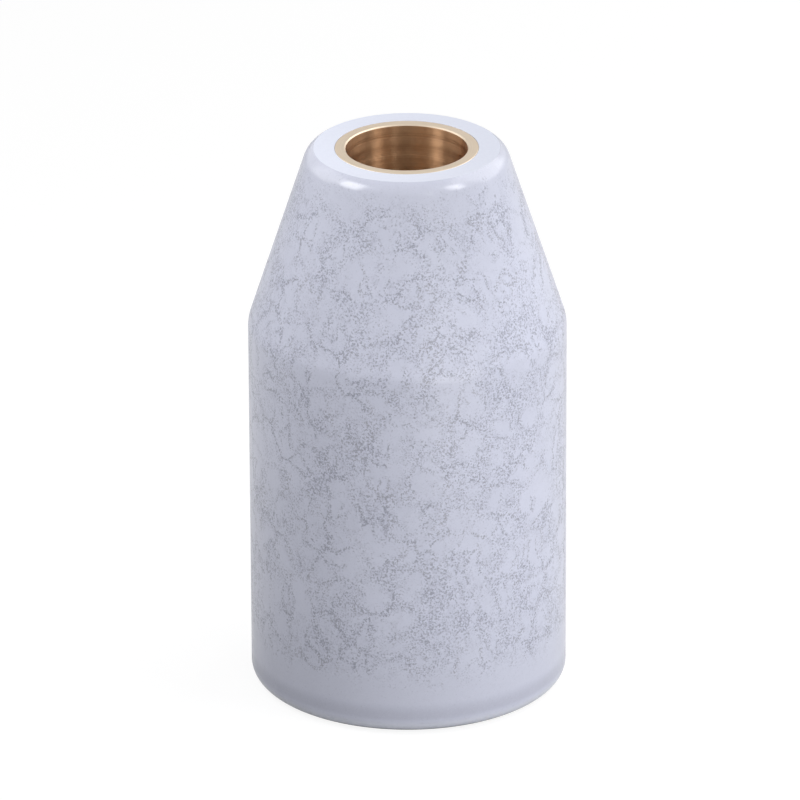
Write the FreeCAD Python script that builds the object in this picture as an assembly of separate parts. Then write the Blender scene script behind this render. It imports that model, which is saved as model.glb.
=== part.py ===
"""Shield cap of a plasma cutting torch: a white insulating shell moulded over a threaded brass liner.

The cap screws onto the torch head with its open base and holds the nozzle, which reaches out
through the bore in the nose. Millimetres, origin at the centre of the base, +Z up the axis
towards the nose. Both pieces are turned about that axis.
"""
import FreeCAD, Part
import math
import os

from FreeCAD import Vector

# Thread that takes the torch head
thread_major_diameter = 26.0
thread_pitch = 1.5
thread_length = 12.0
entry_depth = 2.5            # plain counterbore that guides the torch head to the thread
entry_clearance = 0.2        # of the counterbore, outside the thread's major radius
relief_length = 2.5          # run-out groove above the thread
relief_clearance = 0.1       # of the groove, outside the thread's major radius

# Walls, each measured square to its surface
thread_wall = 1.2            # brass left outside the thread's major diameter
liner_wall = 2.4             # brass above the thread
shell_wall = 2.3             # shell over the liner, on the cylinder and on the cone

# Outside of the cap
cylinder_height = 39.8
cone_height = 19.1           # from the top of the cylinder to the flat face
cone_blend_radius = 4.0      # soft turn from the cylinder to the cone
base_edge_radius = 1.5
edge_share_of_wall = 0.8     # the base edge's round takes at most this much of the shell's wall

# Nose
nozzle_bore_diameter = 12.6
nozzle_bore_length = 6.0
bore_edge_break = 0.12
nose_wall = 1.1              # brass ring that shows in the flat face
joint_edge_break = 0.08      # on the ring's outer edge, where the shell meets it
face_land = 2.2              # flat of the shell around the ring
shoulder_radius = 2.3        # moulded round between the cone and the face
face_cut = 0.3               # depth of that round that the flat face cuts away
seat_width = 2.2             # flat inside the nose that the nozzle's flange rests on
seat_thickness = 2.5

# Grip between the liner and the shell
liner_recess = 0.5           # the brass ends this far above the shell's base
groove_offset = 3.0          # from the top of the run-out groove inside to this groove's lower lip
groove_width = 2.4           # at its floor; the sides slope at 45 degrees
groove_depth = 0.8
flat_count = 4               # flats on the liner that stop it from turning in the shell
flat_depth = 0.6
flat_gap = 2.0               # from a flat's ends to the groove below it and to the cone above it

# Radii and heights that follow from the sizes above
thread_depth_per_pitch = 0.5413
thread_major_radius = thread_major_diameter / 2
thread_minor_radius = thread_major_radius - thread_depth_per_pitch * thread_pitch
liner_radius = thread_major_radius + thread_wall
cavity_radius = liner_radius - liner_wall
body_radius = liner_radius + shell_wall
bore_radius = nozzle_bore_diameter / 2
ring_radius = bore_radius + nose_wall
face_radius = ring_radius + face_land
pocket_radius = bore_radius + seat_width

overall_height = cylinder_height + cone_height
seat_height = overall_height - nozzle_bore_length
flange_top = seat_height + seat_thickness
thread_bottom = liner_recess + entry_depth
thread_top = thread_bottom + thread_length
relief_top = thread_top + relief_length

# The shoulder's round passes through the face's rim, and the cone is tangent to it
shoulder_rise = shoulder_radius - face_cut
shoulder_centre_radius = face_radius - math.sqrt(shoulder_radius ** 2 - shoulder_rise ** 2)
shoulder_centre_height = overall_height - shoulder_rise


def cone_half_angle():
    """Angle between the cone's side and the axis, in radians."""
    inward = body_radius - shoulder_centre_radius
    upward = shoulder_centre_height - cylinder_height
    return math.atan2(inward, upward) - math.asin(shoulder_radius / math.hypot(inward, upward))


cone_angle = cone_half_angle()


def cone_radius(height, inset):
    """Radius at a height of the surface that lies inset square to the outer cone."""
    return body_radius - (height - cylinder_height) * math.tan(cone_angle) - inset / math.cos(cone_angle)


def cone_level(radius, inset):
    """Height at which that surface has a radius."""
    return cylinder_height + (body_radius - inset / math.cos(cone_angle) - radius) / math.tan(cone_angle)


plain_top = cone_level(cavity_radius, shell_wall + liner_wall)
groove_bottom = relief_top + groove_offset
groove_top = groove_bottom + groove_width + 2 * groove_depth


same_point = 1e-6            # points nearer than this are joined with no edge


def corner(radius, height):
    """A corner of an outline, in the section plane."""
    return [Vector(radius, 0, height)]


def bend(centre_radius, centre_height, radius, start_angle, end_angle):
    """An arc of an outline; its angles are in radians, up from the outward direction."""
    return [
        Vector(centre_radius + radius * math.cos(angle), 0, centre_height + radius * math.sin(angle))
        for angle in (start_angle, (start_angle + end_angle) / 2, end_angle)
    ]


def turned(outline):
    """The solid that a closed outline of corners and bends makes, turned about the axis."""
    edges = []
    for entry, following in zip(outline, outline[1:] + outline[:1]):
        if len(entry) == 3:
            edges.append(Part.Arc(*entry).toShape())
        if entry[-1].distanceToPoint(following[0]) > same_point:
            edges.append(Part.makeLine(entry[-1], following[0]))
    section = Part.Face(Part.Wire(edges))
    return section.revolve(Vector(0, 0, 0), Vector(0, 0, 1), 360)


def grip_outline():
    """Where the liner and the shell meet, from above the base to the nose: groove, cone, step and neck."""
    return [
        corner(liner_radius, groove_bottom),
        corner(liner_radius - groove_depth, groove_bottom + groove_depth),
        corner(liner_radius - groove_depth, groove_top - groove_depth),
        corner(liner_radius, groove_top),
        corner(liner_radius, cone_level(liner_radius, shell_wall)),
        corner(cone_radius(flange_top, shell_wall), flange_top),
        corner(ring_radius, flange_top),
    ]


def flats():
    """The slices that the flats take off the liner's round, which the shell fills."""
    bottom = groove_top + flat_gap
    length = plain_top - flat_gap - bottom
    rod = Part.makeCylinder(liner_radius, length, Vector(0, 0, bottom))
    slices = []
    for index in range(flat_count):
        block = Part.makeBox(liner_radius, 2 * liner_radius, length)
        block.translate(Vector(liner_radius - flat_depth, -liner_radius, bottom))
        block.rotate(Vector(0, 0, 0), Vector(0, 0, 1), 360 * index / flat_count)
        slices.append(rod.common(block))
    return Part.makeCompound(slices)


def shell():
    """Cylinder, soft turn, cone, round shoulder and flat face, filled in down to the liner."""
    edge = min(base_edge_radius, edge_share_of_wall * shell_wall)
    eighth_turn = math.pi / 4
    blend_drop = cone_blend_radius * math.tan(cone_angle / 2)
    rim_angle = math.asin(shoulder_rise / shoulder_radius)
    outside = [
        corner(liner_radius, 0),
        bend(body_radius - edge, edge, edge, -2 * eighth_turn, -eighth_turn),
        bend(body_radius - edge, edge, edge, -eighth_turn, 0),
        bend(body_radius - cone_blend_radius, cylinder_height - blend_drop, cone_blend_radius, 0, cone_angle),
        bend(shoulder_centre_radius, shoulder_centre_height, shoulder_radius, cone_angle, rim_angle),
        corner(ring_radius, overall_height),
    ]
    return turned(outside + grip_outline()[::-1])


def liner_cavity():
    """Inside of the liner from the nose down to the base: bore, seat, pocket, cone, relief, thread, entry."""
    inset = shell_wall + liner_wall
    relief_radius = thread_major_radius + relief_clearance
    entry_radius = thread_major_radius + entry_clearance
    relief_lead = relief_radius - thread_minor_radius
    thread_lead = entry_radius - thread_minor_radius
    return [
        corner(bore_radius + bore_edge_break, overall_height),
        corner(bore_radius, overall_height - bore_edge_break),
        corner(bore_radius, seat_height),
        corner(pocket_radius, seat_height),
        corner(pocket_radius, cone_level(pocket_radius, inset)),
        corner(cavity_radius, plain_top),
        corner(cavity_radius, relief_top + relief_radius - cavity_radius),
        corner(relief_radius, relief_top),
        corner(relief_radius, thread_top),
        corner(thread_minor_radius, thread_top - relief_lead),
        corner(thread_minor_radius, thread_bottom + thread_lead),
        corner(entry_radius, thread_bottom),
        corner(entry_radius, liner_recess),
    ]


def liner():
    """Threaded sleeve, drawn in to a thin ring at the nose; the thread is a plain wall at its crests."""
    outside = [corner(liner_radius, liner_recess)] + grip_outline()
    ring = [
        corner(ring_radius, overall_height - joint_edge_break),
        corner(ring_radius - joint_edge_break, overall_height),
    ]
    return turned(outside + ring + liner_cavity())


def write(name, shape):
    """Write one piece's exact shape and report its volume."""
    shape = shape.removeSplitter()
    shape.exportStep("parts/" + name + ".step")
    print(name, "solids", len(shape.Solids), "valid", shape.isValid(), "volume", round(shape.Volume, 1))


os.makedirs("parts", exist_ok=True)
write("insulating_shell", shell().fuse(flats()))
write("brass_liner", liner().cut(flats()))
print("body", round(2 * body_radius, 2), "across and", round(overall_height, 2), "high")
print("cone half-angle", round(math.degrees(cone_angle), 2), "degrees")
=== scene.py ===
"""Looks of the shield cap: a mottled white moulded shell over a turned brass liner."""
import math

import bpy
from mathutils import Matrix, Vector


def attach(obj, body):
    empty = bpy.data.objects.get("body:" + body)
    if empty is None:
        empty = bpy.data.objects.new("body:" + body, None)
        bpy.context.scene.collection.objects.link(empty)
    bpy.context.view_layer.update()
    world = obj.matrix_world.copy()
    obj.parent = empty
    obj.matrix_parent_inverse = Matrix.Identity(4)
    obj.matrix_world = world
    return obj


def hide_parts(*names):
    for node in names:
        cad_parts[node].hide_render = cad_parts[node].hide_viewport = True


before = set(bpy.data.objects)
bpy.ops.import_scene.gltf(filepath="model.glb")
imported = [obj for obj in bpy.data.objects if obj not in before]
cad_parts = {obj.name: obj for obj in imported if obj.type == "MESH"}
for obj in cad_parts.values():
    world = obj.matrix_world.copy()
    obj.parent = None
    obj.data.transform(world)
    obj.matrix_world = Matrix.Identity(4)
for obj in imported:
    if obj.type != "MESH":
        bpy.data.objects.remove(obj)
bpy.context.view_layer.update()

mm = 0.001

# Sizes of the cap, in millimetres
body_radius = 16.5
overall_height = 58.9
cylinder_height = 39.8
cone_half_angle = math.radians(18.18)
cone_blend_radius = 4.0
base_edge_radius = 1.5
shoulder_radius = 2.3
face_cut = 0.3               # depth of the shoulder's round that the flat face cuts away
face_radius = 9.6
ring_radius = 7.4
joint_gap = 0.02             # fine line between the shell and the liner
shell_joint_break = 0.03
liner_radius = 14.2
liner_recess = 0.5
flange_top = 55.4
flange_radius = 8.96
liner_cone_bottom = 39.43
bore_radius = 6.3
bore_edge_break = 0.12
joint_edge_break = 0.04
seat_height = 52.9
pocket_radius = 8.5
pocket_bottom = 49.1
cavity_radius = 11.8
cavity_top = 39.05
relief_top = 17.5
relief_radius = 13.1
entry_radius = 13.2

# Thread inside the base
thread_major_radius = 13.0
thread_minor_radius = 12.188
thread_pitch = 1.5
thread_bottom = 3.0
thread_top = 15.0
thread_root_flat = 0.125     # share of the pitch
thread_crest_flat = 0.25     # share of the pitch

# Where a piece's materials meet: heights in millimetres, and the upward share of a face's normal
face_level = overall_height - 0.01
face_upward = 0.99
# Below this height the foot's round carries painted contact shade.
foot_edge = 0.36             # height of the dull round at the foot
foot_downward = -0.995       # only the base's flat faces further down
ring_level = overall_height - 0.1
ring_upward = 0.6

# Fineness of the surfaces
round_segments = 256
thread_rows = 112
sharp_angle = math.radians(24)

# Camera, as the photograph was taken
camera_elevation = math.radians(23.19)
camera_distance = 990.0
camera_target_height = 31.35
camera_aim_left = 0.8
camera_aim_down = 0.655
camera_roll = math.radians(-0.25)
camera_lens = 428.75
camera_sensor = 36.0


def arc(centre_radius, centre_height, radius, start, end, steps):
    """Points of an arc in the section plane; angles in radians, up from the outward direction."""
    return [
        (
            centre_radius + radius * math.cos(start + (end - start) * step / steps),
            centre_height + radius * math.sin(start + (end - start) * step / steps),
        )
        for step in range(steps + 1)
    ]


def between(start, end, steps):
    """Points on the straight run from start to end, without its first."""
    return [
        (
            start[0] + (end[0] - start[0]) * step / steps,
            start[1] + (end[1] - start[1]) * step / steps,
        )
        for step in range(1, steps + 1)
    ]


def turned(name, section, form=None):
    """A closed section of (radius, height) points turned about the axis, in metres."""
    rows = len(section)
    points = []
    for index in range(round_segments):
        angle = 2 * math.pi * index / round_segments
        for row, (radius, height) in enumerate(section):
            if form:
                radius = form(row, radius, height, angle)
            points.append((radius * math.cos(angle) * mm, radius * math.sin(angle) * mm, height * mm))
    faces = []
    for index in range(round_segments):
        here = index * rows
        there = (index + 1) % round_segments * rows
        for row in range(rows):
            following = (row + 1) % rows
            faces.append((here + row, there + row, there + following, here + following))
    mesh = bpy.data.meshes.new(name)
    mesh.from_pydata(points, [], faces)
    mesh.validate()
    mesh.shade_smooth()
    mesh.set_sharp_from_angle(angle=sharp_angle)
    piece = bpy.data.objects.new(name, mesh)
    bpy.context.collection.objects.link(piece)
    return piece


def paint_faces(piece, materials, choose):
    """Give each face one of the materials, by its middle's radius and height and how far it faces up."""
    for material in materials:
        piece.data.materials.append(material)
    for face in piece.data.polygons:
        middle = face.center
        face.material_index = choose(math.hypot(middle.x, middle.y) / mm, middle.z / mm, face.normal.z)


class Tree:
    """The nodes of a material or a world, made and joined by short calls."""

    def __init__(self, owner, output_kind="OutputMaterial"):
        owner.use_nodes = True
        self.owner = owner
        self.nodes = owner.node_tree.nodes
        self.links = owner.node_tree.links
        self.nodes.clear()
        self.output = self.node(output_kind)

    def node(self, kind, settings=None, **inputs):
        """A node with settings on itself and values or links on its named inputs."""
        made = self.nodes.new("ShaderNode" + kind)
        for key, value in (settings or {}).items():
            setattr(made, key, value)
        for key, value in inputs.items():
            self.put(made.inputs[key.replace("_", " ")], value)
        return made

    def put(self, socket, value):
        """Link an output to a socket, or set the socket's value."""
        if isinstance(value, bpy.types.NodeSocket):
            self.links.new(value, socket)
        else:
            socket.default_value = value

    def numbered(self, kind, operation, values):
        """A node whose inputs go by number, because they share a name."""
        made = self.node(kind, {"operation": operation})
        for index, value in enumerate(values):
            self.put(made.inputs[index], value)
        return made

    def maths(self, operation, *values):
        """A number from an operation on numbers."""
        return self.numbered("Math", operation, values).outputs[0]

    def vector_maths(self, operation, *values):
        """A vector from an operation on vectors."""
        return self.numbered("VectorMath", operation, values).outputs[0]

    def most(self, first, *others):
        """The largest of several numbers."""
        for other in others:
            first = self.maths("MAXIMUM", first, other)
        return first

    def step(self, value, low, high, out_low=0.0, out_high=1.0):
        """Value carried smoothly from low..high to out_low..out_high."""
        made = self.node("MapRange", {"interpolation_type": "SMOOTHSTEP"}, Value=value)
        for key, entry in (("From Min", low), ("From Max", high), ("To Min", out_low), ("To Max", out_high)):
            made.inputs[key].default_value = entry
        return made.outputs["Result"]

    def band(self, height, low, low_full, high_full, high):
        """1 between two heights, fading to 0 outside them."""
        rise = self.step(height, low, low_full)
        fall = self.step(height, high_full, high, 1.0, 0.0)
        return self.maths("MULTIPLY", rise, fall)

    def noise(self, vector, scale, detail=2.0, roughness=0.5):
        """Soft noise from 0 to 1, with scale in features per millimetre."""
        made = self.node("TexNoise", Vector=vector, Scale=scale, Detail=detail, Roughness=roughness)
        return made.outputs["Fac"]

    def mix(self, factor, first, second):
        """A colour between two others; the colours are inputs 6 and 7 and output 2 of the node."""
        made = self.node("Mix", {"data_type": "RGBA"})
        self.put(made.inputs[0], factor)
        self.put(made.inputs[6], first)
        self.put(made.inputs[7], second)
        return made.outputs[2]

    def place(self):
        """The point on the part in millimetres, and its height and distance from the axis."""
        where = self.node("TexCoord").outputs["Object"]
        scaled = self.node("VectorMath", {"operation": "SCALE"}, Vector=where, Scale=1 / mm).outputs[0]
        parts = self.node("SeparateXYZ", Vector=scaled).outputs
        flat = self.node("CombineXYZ", X=parts["X"], Y=parts["Y"]).outputs[0]
        radius = self.node("VectorMath", {"operation": "LENGTH"}, Vector=flat).outputs["Value"]
        return scaled, parts["Z"], radius

    def seen(self):
        """The ray's kind: camera, and any through which the eye sees the surroundings."""
        path = self.node("LightPath").outputs
        camera = path["Is Camera Ray"]
        return camera, self.most(camera, path["Is Glossy Ray"], path["Is Transmission Ray"])

    def finished(self, shader):
        """The owner, once the shader is joined to its output."""
        self.links.new(shader.outputs[0], self.output.inputs[0])
        return self.owner


def shade(level):
    """A screen value from 0 to 255 as a linear one."""
    value = level / 255
    return value / 12.92 if value <= 0.04045 else ((value + 0.055) / 1.055) ** 2.4


def colour(red, green, blue):
    """A screen colour as a shader colour."""
    return (shade(red), shade(green), shade(blue), 1.0)


# Colours
shell_colour = colour(226, 229, 247)
shell_shade = colour(222, 225, 243)
# Pale colour for the mottle's lighter spots, and also the painted reflection of the floor on the foot's
# round.
shell_pale_and_painted_reflection = colour(238, 241, 254)
skin_colour = colour(216, 219, 236)
# Painted contact shade on the foot's round, where the cap meets the floor.
foot_painted_shade = colour(112, 114, 126)
foot_painted_shade_dark = colour(84, 86, 98)
# Fleck colour, and also the painted shade in a band just above the foot.
fleck_and_painted_shade_colour = colour(148, 151, 171)
fleck_warm = colour(153, 154, 170)
face_colour = colour(233, 237, 252)
face_shade = colour(219, 223, 240)
ring_colour = colour(205, 190, 171)
ring_dark = colour(193, 177, 155)
bore_colour = colour(198, 158, 122)
bore_dark = colour(150, 112, 80)
inside_colour = colour(206, 176, 124)
inside_dark = colour(160, 126, 80)

# Mottle of the shell, in millimetres
blob_size = 3.8              # smooth blobs
blob_net = 0.6               # width of the net of flecks round them
blob_haze = 1.5              # width of the thinner flecks beside that net
grit_size = 1.7              # smaller blobs, drawn out upwards
grit_net = 0.4
grit_squeeze = 0.4           # of heights, which draws those blobs out
flecks_per_mm = 4.8
ragged_end = 5.0             # height over which the mottle's two ends wander
broad_bend = (0.3, 1.5)      # features per millimetre and reach of the blobs' bending
fine_bend = (1.4, 0.32)

# Bands of the shell by height, as where each begins, is full, starts to fade and ends
mottled_band = (3.8, 8.0, 54.5, 59.5)
rougher_band = (3.0, 12.0, 50.0, 58.0)
# Painted shade in a band just above the foot's round, and a painted reflection of the floor's light on that
# round.
painted_shade_band = (1.2, 1.9, 2.2, 3.6)
painted_reflection_band = (0.3, 0.5, 0.9, 1.4)

# Gloss of the shell
shell_ior = 1.6
plain_roughness = 0.2        # at both ends
mottled_roughness = 0.27


def wander(tree, vector, scale, reach):
    """The point carried away by a soft noise, by at most about reach."""
    drift = tree.node("TexNoise", Vector=vector, Scale=scale, Detail=1.0, Roughness=0.5).outputs["Color"]
    centred = tree.vector_maths("SUBTRACT", drift, (0.5, 0.5, 0.5))
    return tree.vector_maths("MULTIPLY_ADD", centred, (2 * reach, 2 * reach, 2 * reach), vector)


def veins(tree, vector, cell, width):
    """1 on the borders between cells, falling to 0 at width from them; in millimetres."""
    edge = tree.node("TexVoronoi", {"feature": "DISTANCE_TO_EDGE"}, Vector=vector, Scale=1 / cell)
    return tree.step(edge.outputs["Distance"], 0.0, width / cell, 1.0, 0.0)


def fleck_density(tree, point, height):
    """How thickly the flecks lie: in nets round smooth blobs and in clouds, and least at both ends."""
    bent = wander(tree, wander(tree, point, *broad_bend), *fine_bend)
    haze_share = tree.step(tree.noise(point, 0.2, 1.0), 0.3, 0.6, 0.35, 0.75)
    haze = tree.maths("MULTIPLY", veins(tree, bent, blob_size, blob_haze), haze_share)
    net_share = tree.step(tree.noise(point, 0.26, 1.0), 0.4, 0.6, 0.3, 1.0)
    net = tree.maths("MULTIPLY", veins(tree, bent, blob_size, blob_net), net_share)
    tall = tree.vector_maths("MULTIPLY", bent, (1.0, 1.0, grit_squeeze))
    grit_share = tree.step(tree.noise(point, 0.3, 1.0), 0.42, 0.58, 0.1, 0.85)
    grit = tree.maths("MULTIPLY", veins(tree, tall, grit_size, grit_net), grit_share)
    cloud = tree.step(tree.noise(bent, 0.45, 3.0, 0.6), 0.5, 0.66, 0.0, 0.7)
    density = tree.most(net, grit, haze, cloud)
    lowered = tree.maths("SUBTRACT", height, ragged_end / 2)
    ragged = tree.maths("MULTIPLY_ADD", tree.noise(point, 0.45, 2.0), ragged_end, lowered)
    return tree.maths("MULTIPLY", density, tree.band(ragged, *mottled_band))


def shell_ground(tree, point, height):
    """The colour under the flecks: greyer skin at both ends, a band of painted shade just above the foot,
    and a painted reflection of the floor on the foot's round.
    """
    tone = tree.step(tree.noise(point, 0.16, 2.0), 0.3, 0.7)
    ground = tree.mix(tone, shell_colour, shell_shade)
    ground = tree.mix(tree.step(height, 3.0, 15.0, 0.8, 0.0), ground, skin_colour)
    ground = tree.mix(tree.step(height, 46.0, 58.0, 0.0, 0.6), ground, skin_colour)
    # Painted shade: the ground greyed towards the fleck colour in a band just above the foot.
    shaded = tree.maths("MULTIPLY", tree.band(height, *painted_shade_band), 0.28)
    ground = tree.mix(shaded, ground, fleck_and_painted_shade_colour)
    # Painted reflection: the ground lightened on the foot's round, standing for the floor's reflected light.
    light = tree.maths("MULTIPLY", tree.band(height, *painted_reflection_band), 0.8)
    return tree.mix(light, ground, shell_pale_and_painted_reflection)


def shell_material():
    """Semi-gloss moulded insulator: smooth pale blobs in a net of fine grey flecks."""
    tree = Tree(bpy.data.materials.new("moulded_shell"))
    point, height, _ = tree.place()
    density = fleck_density(tree, point, height)
    grain = tree.noise(point, flecks_per_mm, 2.0, 0.8)
    threshold = tree.maths("MULTIPLY_ADD", density, -0.17, 0.62)
    fleck = tree.step(tree.maths("SUBTRACT", grain, threshold), -0.02, 0.12)
    fleck = tree.maths("MULTIPLY", fleck, tree.step(density, 0.0, 0.9, 0.22, 0.76))
    smudge = tree.step(tree.noise(point, 1.5, 2.0, 0.6), 0.4, 0.75, 0.0, 0.18)
    smudge = tree.maths("MULTIPLY", smudge, tree.step(density, 0.0, 0.7, 0.2, 1.0))
    lift = tree.step(grain, 0.3, 0.46, 0.42, 0.0)
    lift = tree.maths("MULTIPLY", lift, tree.step(density, 0.0, 0.8, 0.3, 1.0))
    warmth = tree.step(tree.noise(point, 0.35, 2.0), 0.45, 0.7)
    dirt = tree.mix(warmth, fleck_and_painted_shade_colour, fleck_warm)
    ground = tree.mix(lift, shell_ground(tree, point, height), shell_pale_and_painted_reflection)
    mixed = tree.mix(fleck, tree.mix(smudge, ground, fleck_and_painted_shade_colour), dirt)
    rougher = tree.most(tree.band(height, *rougher_band), fleck)
    roughness = tree.step(rougher, 0.0, 1.0, plain_roughness, mottled_roughness)
    relief = tree.maths("MULTIPLY_ADD", fleck, -0.25, tree.noise(point, 0.5, 2.0))
    bump = tree.node("Bump", Height=relief, Strength=0.1, Distance=0.2 * mm).outputs[0]
    shader = tree.node("BsdfPrincipled", Base_Color=mixed, Roughness=roughness, Normal=bump, IOR=shell_ior)
    return tree.finished(shader)


def face_material():
    """The nose face, cut flat after moulding: plain, paler and a little duller than the moulded skin."""
    tree = Tree(bpy.data.materials.new("ground_face"))
    point, _, radius = tree.place()
    rings = tree.node("CombineXYZ", X=radius).outputs[0]
    marks = tree.noise(rings, 9.0, 2.0)
    tint = tree.step(tree.noise(point, 3.0, 2.0), 0.35, 0.65, 0.0, 0.15)
    mixed = tree.mix(tint, face_colour, face_shade)
    roughness = tree.step(marks, 0.3, 0.7, 0.38, 0.5)
    bump = tree.node("Bump", Height=marks, Strength=0.1, Distance=0.05 * mm).outputs[0]
    return tree.finished(tree.node("BsdfPrincipled", Base_Color=mixed, Roughness=roughness, Normal=bump))


def foot_shade_material():
    """The foot's edge, dull and darkened with painted contact shade where the cap stands."""
    tree = Tree(bpy.data.materials.new("foot_edge"))
    point, _, _ = tree.place()
    mixed = tree.mix(tree.step(tree.noise(point, 1.2, 2.0), 0.3, 0.7), foot_painted_shade, foot_painted_shade_dark)
    shader = tree.node("BsdfPrincipled", Base_Color=mixed, Roughness=0.6, Specular_IOR_Level=0.1)
    return tree.finished(shader)


quarter_turn = 0.25          # as the share of a turn by which the gloss's long side is turned


def brass_material(name, base, dark, across, rough, spread, marks_per_mm, mark_depth, mark_tint):
    """Turned brass: tool marks run round the axis, so its gloss spreads across them."""
    tree = Tree(bpy.data.materials.new(name))
    point, height, radius = tree.place()
    along = tree.node("CombineXYZ", X=radius if across == "radius" else height).outputs[0]
    fine = tree.noise(along, marks_per_mm, 2.0, 0.6)
    coarse = tree.noise(along, marks_per_mm / 6, 1.0)
    stain = tree.step(tree.noise(point, 0.5, 3.0, 0.6), 0.4, 0.7)
    wear = tree.maths("MULTIPLY_ADD", stain, 0.3, tree.step(fine, 0.62, 0.35, 0.0, mark_tint))
    wear.node.use_clamp = True
    shader = tree.node(
        "BsdfPrincipled",
        Base_Color=tree.mix(wear, base, dark),
        Roughness=tree.step(coarse, 0.3, 0.7, rough, rough + 0.08),
        Normal=tree.node("Bump", Height=fine, Strength=1.0, Distance=mark_depth * mm).outputs[0],
        Tangent=tree.node("Tangent", {"direction_type": "RADIAL", "axis": "Z"}).outputs[0],
        Metallic=1.0,
        Anisotropic=spread,
        Anisotropic_Rotation=quarter_turn,
    )
    return tree.finished(shader)


# Turned surfaces as (roughness, spread, marks per millimetre, depth of the marks, tint of the marks)
inside_finish = (0.35, 1.0, 2.0, 0.01, 0.45)
ring_finish = (0.4, 0.0, 7.0, 0.003, 0.45)
bore_finish = (0.29, 1.0, 7.5, 0.03, 0.2)


def shell_outside():
    """Outline from the base's inner edge round to the nose joint's upper edge."""
    rise = shoulder_radius - face_cut
    centre_radius = face_radius - math.sqrt(shoulder_radius ** 2 - rise ** 2)
    centre_height = overall_height - rise
    rim_angle = math.asin(rise / shoulder_radius)
    blend_centre_radius = body_radius - cone_blend_radius
    blend_bottom = cylinder_height - cone_blend_radius * math.tan(cone_half_angle / 2)
    edge_centre_radius = body_radius - base_edge_radius
    line = [(liner_radius + joint_gap, 0.0)]
    line += arc(edge_centre_radius, base_edge_radius, base_edge_radius, -math.pi / 2, 0, steps=16)
    line += between(line[-1], (body_radius, blend_bottom), steps=24)
    line += arc(blend_centre_radius, blend_bottom, cone_blend_radius, 0, cone_half_angle, steps=8)[1:]
    shoulder = arc(centre_radius, centre_height, shoulder_radius, cone_half_angle, rim_angle, steps=14)
    line += between(line[-1], shoulder[0], steps=12)
    line += shoulder[1:]
    line += between(line[-1], (ring_radius + joint_gap + shell_joint_break, overall_height), steps=4)
    return line


def make_shell():
    """The moulded shell: outside from the base to the nose face, then down the joint with the liner."""
    joint = [
        (ring_radius + joint_gap, overall_height - shell_joint_break),
        (ring_radius + joint_gap, flange_top + joint_gap),
        (flange_radius + joint_gap, flange_top + joint_gap),
        (liner_radius + joint_gap, liner_cone_bottom),
    ]
    shell = turned("moulded_shell", shell_outside() + joint)
    skin, nose_face, foot = range(3)

    def choose(radius, height, up):
        """The flat face on top, the foot's round below, and skin elsewhere."""
        if height > face_level and up > face_upward:
            return nose_face
        return foot if height < foot_edge and up > foot_downward else skin

    paint_faces(shell, (shell_material(), face_material(), foot_shade_material()), choose)
    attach(shell, "root")
    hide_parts("insulating_shell")


def thread_radius(height, angle):
    """Radius of the inside thread's surface: 60 degree flanks between flat crests and flat roots."""
    phase = (height / thread_pitch - angle / (2 * math.pi)) % 1.0
    away = abs(phase - 0.5) * 2
    share = (away - thread_root_flat) / (1 - thread_root_flat - thread_crest_flat)
    depth = thread_major_radius - thread_minor_radius
    return thread_major_radius - depth * min(max(share, 0.0), 1.0)


def liner_outside():
    """Outline of the liner from its lower end up to the ring, all under the shell."""
    return [
        (liner_radius, liner_recess),
        (liner_radius, liner_cone_bottom),
        (flange_radius, flange_top),
        (ring_radius, flange_top),
    ]


def liner_bore():
    """Outline over the ring and down the inside: bore, seat, pocket, cone, cavity and run-out groove."""
    line = [
        (ring_radius, overall_height - joint_edge_break),
        (ring_radius - joint_edge_break, overall_height),
    ]
    line += between(line[-1], (bore_radius + bore_edge_break, overall_height), steps=4)
    line += between(line[-1], (bore_radius, overall_height - bore_edge_break), steps=2)
    line += between(line[-1], (bore_radius, seat_height), steps=10)
    line += [(pocket_radius, seat_height)]
    line += between(line[-1], (pocket_radius, pocket_bottom), steps=4)
    line += between(line[-1], (cavity_radius, cavity_top), steps=8)
    line += between(line[-1], (cavity_radius, relief_top + relief_radius - cavity_radius), steps=12)
    line += [(relief_radius, relief_top), (relief_radius, thread_top)]
    return line


def make_liner():
    """The brass liner: ring and bore at the nose, seat, cone, and the thread for the torch head."""
    before = liner_outside() + liner_bore()
    threaded = [(thread_minor_radius, thread_top)]
    threaded += between(threaded[0], (thread_minor_radius, thread_bottom), thread_rows)
    entry = [(entry_radius, thread_bottom), (entry_radius, liner_recess)]
    first = len(before)
    last = first + thread_rows

    def form(row, radius, height, angle):
        """Cut the thread into its rows, opened at both ends by 45 degree leads."""
        if not first <= row <= last:
            return radius
        entry_lead = entry_radius - (height - thread_bottom)
        relief_lead = relief_radius - (thread_top - height)
        return max(thread_radius(height, angle), entry_lead, relief_lead)

    liner = turned("brass_liner_turned", before + threaded + entry, form)
    materials = (
        brass_material("brass_inside", inside_colour, inside_dark, "height", *inside_finish),
        brass_material("brass_ring_face", ring_colour, ring_dark, "radius", *ring_finish),
        brass_material("brass_nose_bore", bore_colour, bore_dark, "height", *bore_finish),
    )
    inside, ring, bore = range(3)

    def choose(radius, height, up):
        """The ring with its broken edges, the bore's wall, and the rest."""
        if height > ring_level and up > ring_upward:
            return ring
        return bore if height > seat_height and radius < bore_radius + bore_edge_break else inside

    paint_faces(liner, materials, choose)
    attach(liner, "root")
    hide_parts("brass_liner")


# Floor: the paint that lights the cap from below, and its white glow and painted share
# where the camera sees it, and where gloss and glass do
floor_half = 3.0             # half its side, in metres
floor_drop = 0.02            # below the cap's base, in millimetres
floor_paint = 0.4
camera_glow = 0.88
camera_share = 0.18
gloss_glow = 0.25
gloss_share = 0.7


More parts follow.
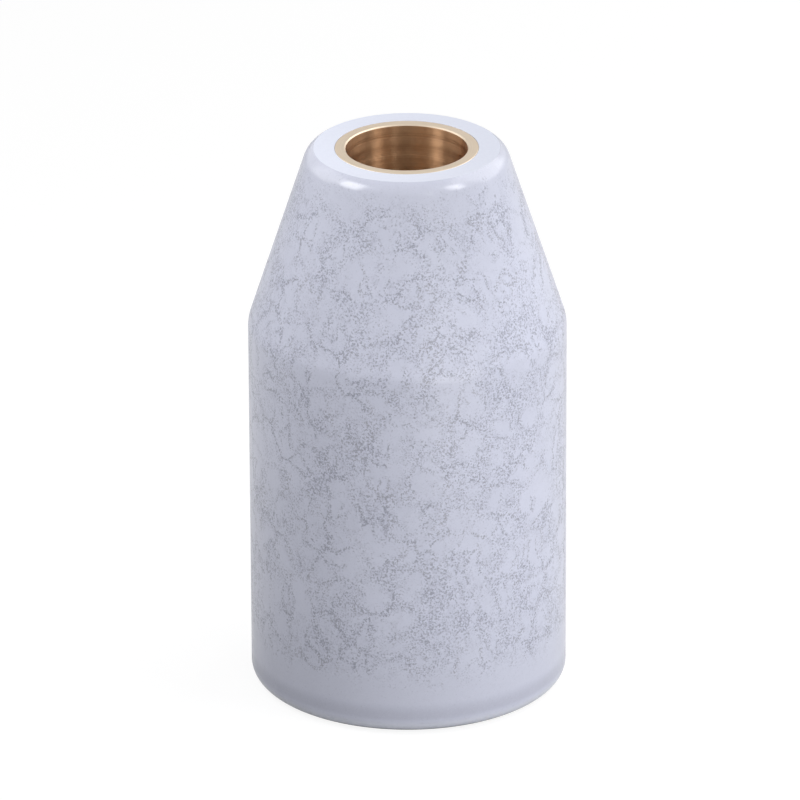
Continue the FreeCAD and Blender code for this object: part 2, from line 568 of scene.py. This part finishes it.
def make_floor():
    """A plain white floor that keeps the cap's shadow and otherwise shows white."""
    level = -floor_drop * mm
    corners = [
        (-floor_half, -floor_half, level),
        (floor_half, -floor_half, level),
        (floor_half, floor_half, level),
        (-floor_half, floor_half, level),
    ]
    mesh = bpy.data.meshes.new("floor")
    mesh.from_pydata(corners, [], [(0, 1, 2, 3)])
    floor = bpy.data.objects.new("floor", mesh)
    bpy.context.collection.objects.link(floor)
    tree = Tree(bpy.data.materials.new("floor"))
    camera, seen = tree.seen()
    share = tree.maths("MULTIPLY_ADD", camera, camera_share - gloss_share, gloss_share)
    glow = tree.maths("MULTIPLY_ADD", camera, camera_glow - gloss_glow, gloss_glow)
    paint = tree.maths("MULTIPLY_ADD", seen, tree.maths("SUBTRACT", share, floor_paint), floor_paint)
    grey = tree.node("CombineColor", Red=paint, Green=paint, Blue=paint).outputs[0]
    both = tree.node("AddShader")
    tree.put(both.inputs[0], tree.node("BsdfDiffuse", Color=grey).outputs[0])
    tree.put(both.inputs[1], tree.node("Emission", Strength=tree.maths("MULTIPLY", seen, glow)).outputs[0])
    mesh.materials.append(tree.finished(both))


# Softboxes as (name, azimuth from the camera to the right, elevation, distance, width, height, radiance)
lamps = (
    ("key_right", 62, 38, 600, 150, 250, 6.5),
    ("fill_left", -66, 47, 95, 30, 38, 6.4),
    ("low_front", 28.6, 0, 125, 90, 56, 2.65),
    ("strip_right", 23.2, 30, 600, 26, 260, 6.0),
    ("back_right", 118, 38, 600, 600, 600, 1.85),
    ("back_left", -106, 34, 180, 120, 120, 1.45),
)


def make_lamps():
    """Soft lamps round the cap, each aimed at its middle."""
    middle = Vector((0, 0, overall_height / 2 * mm))
    for name, azimuth, elevation, distance, width, height, radiance in lamps:
        light = bpy.data.lights.new(name, "AREA")
        light.shape = "RECTANGLE"
        light.size = width * mm
        light.size_y = height * mm
        light.energy = radiance * math.pi * light.size * light.size_y
        turn = math.radians(azimuth)
        lift = math.radians(elevation)
        away = Vector((math.sin(turn) * math.cos(lift), -math.cos(turn) * math.cos(lift), math.sin(lift)))
        lamp = bpy.data.objects.new(name, light)
        lamp.location = middle + away * distance * mm
        lamp.rotation_mode = "QUATERNION"
        lamp.rotation_quaternion = away.to_track_quat("Z", "Y")
        lamp.visible_camera = False
        bpy.context.collection.objects.link(lamp)


ambient_level = 0.19


def make_world():
    """White where the camera, gloss or glass sees it, and a plain soft level on dull surfaces."""
    tree = Tree(bpy.data.worlds.new("studio"), "OutputWorld")
    _, seen = tree.seen()
    level = tree.maths("MULTIPLY_ADD", seen, 1 - ambient_level, ambient_level)
    background = tree.node("Background", Color=(1, 1, 1, 1), Strength=level)
    bpy.context.scene.world = tree.finished(background)


def make_camera():
    """A long lens from a little above, aimed so that the cap stands where the photograph has it."""
    back = Vector((0, -math.cos(camera_elevation), math.sin(camera_elevation)))
    turn = (-back).to_track_quat("-Z", "Y").to_matrix()
    right = turn @ Vector((1, 0, 0))
    up = turn @ Vector((0, 1, 0))
    target = Vector((0, 0, camera_target_height))
    place = target + back * camera_distance
    aim = target - right * camera_aim_left - up * camera_aim_down
    lens = bpy.data.cameras.new("camera")
    lens.lens = camera_lens
    lens.sensor_width = camera_sensor
    lens.clip_start = 0.05
    lens.clip_end = 20.0
    camera = bpy.data.objects.new("camera", lens)
    camera.location = place * mm
    camera.rotation_mode = "QUATERNION"
    facing = (aim - place).to_track_quat("-Z", "Y").to_matrix() @ Matrix.Rotation(camera_roll, 3, "Z")
    camera.rotation_quaternion = facing.to_quaternion()
    bpy.context.collection.objects.link(camera)
    bpy.context.scene.camera = camera


make_shell()
make_liner()
make_floor()
make_lamps()
make_world()
make_camera()
bpy.context.scene.view_settings.view_transform = "Standard"
